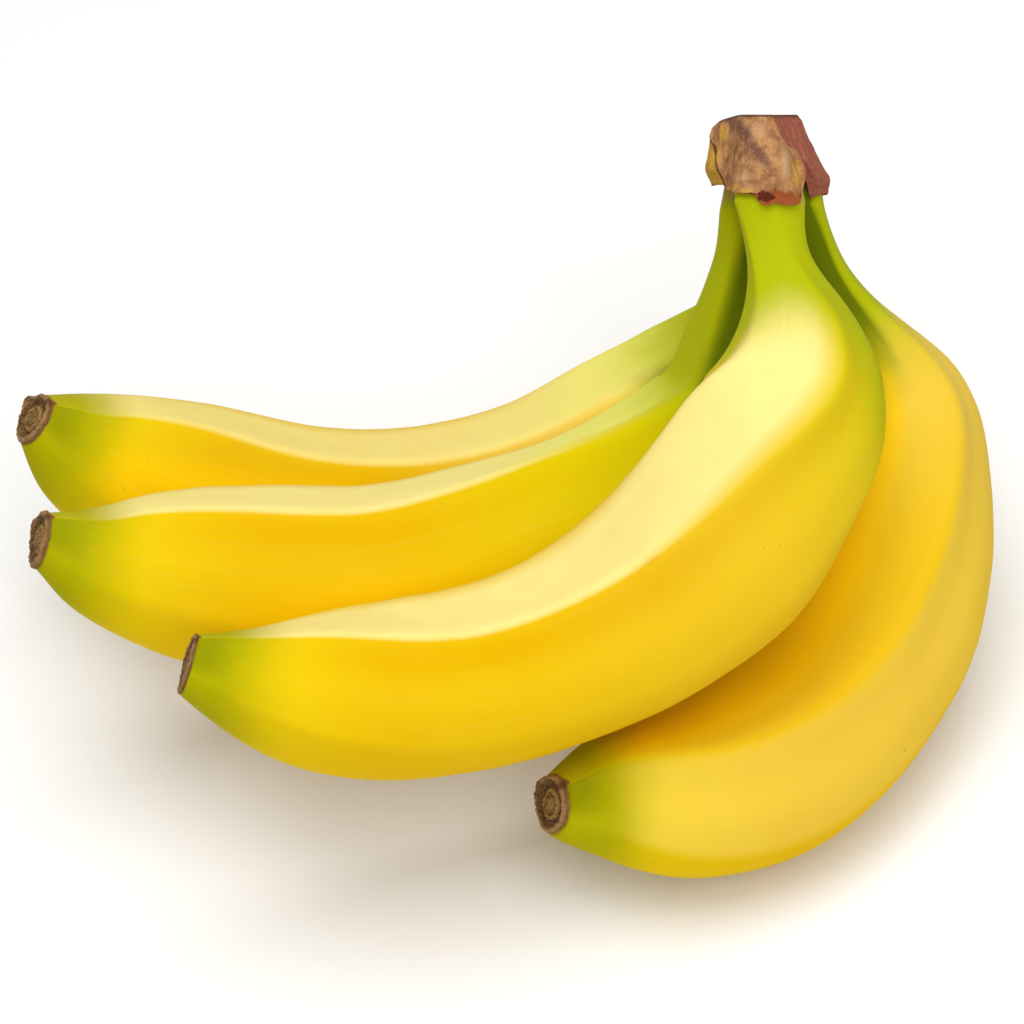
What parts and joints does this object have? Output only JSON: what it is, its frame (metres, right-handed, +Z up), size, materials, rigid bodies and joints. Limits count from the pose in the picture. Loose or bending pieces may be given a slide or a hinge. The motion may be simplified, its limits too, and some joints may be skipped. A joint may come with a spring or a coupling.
{
  "type": "bunch of bananas",
  "caption": "Bunch of ripening yellow bananas joined at a cut brown crown, with greenish necks and dry dark tips, lying on its side.",
  "frame": {"origin": "centre of the bunch's bounding box, on the surface that it lies on", "axes": "+X from the dry tips towards the right finger, along the bunch's length; +Z up; -Y towards the front, from where the bunch is seen"},
  "size_m": [0.1998, 0.1389, 0.1193],
  "materials": {
    "peel": "waxy satin",
    "dry_tip": "matte, corky",
    "crown_skin": "matte, fibrous"
  },
  "bodies": {
    "root": {"crown": "crown_skin", "banana_front": "peel", "banana_left": "peel", "banana_back": "peel", "banana_right": "peel", "tip_front": "dry_tip", "tip_left": "dry_tip", "tip_back": "dry_tip", "tip_right": "dry_tip"}
  },
  "joints": []
}
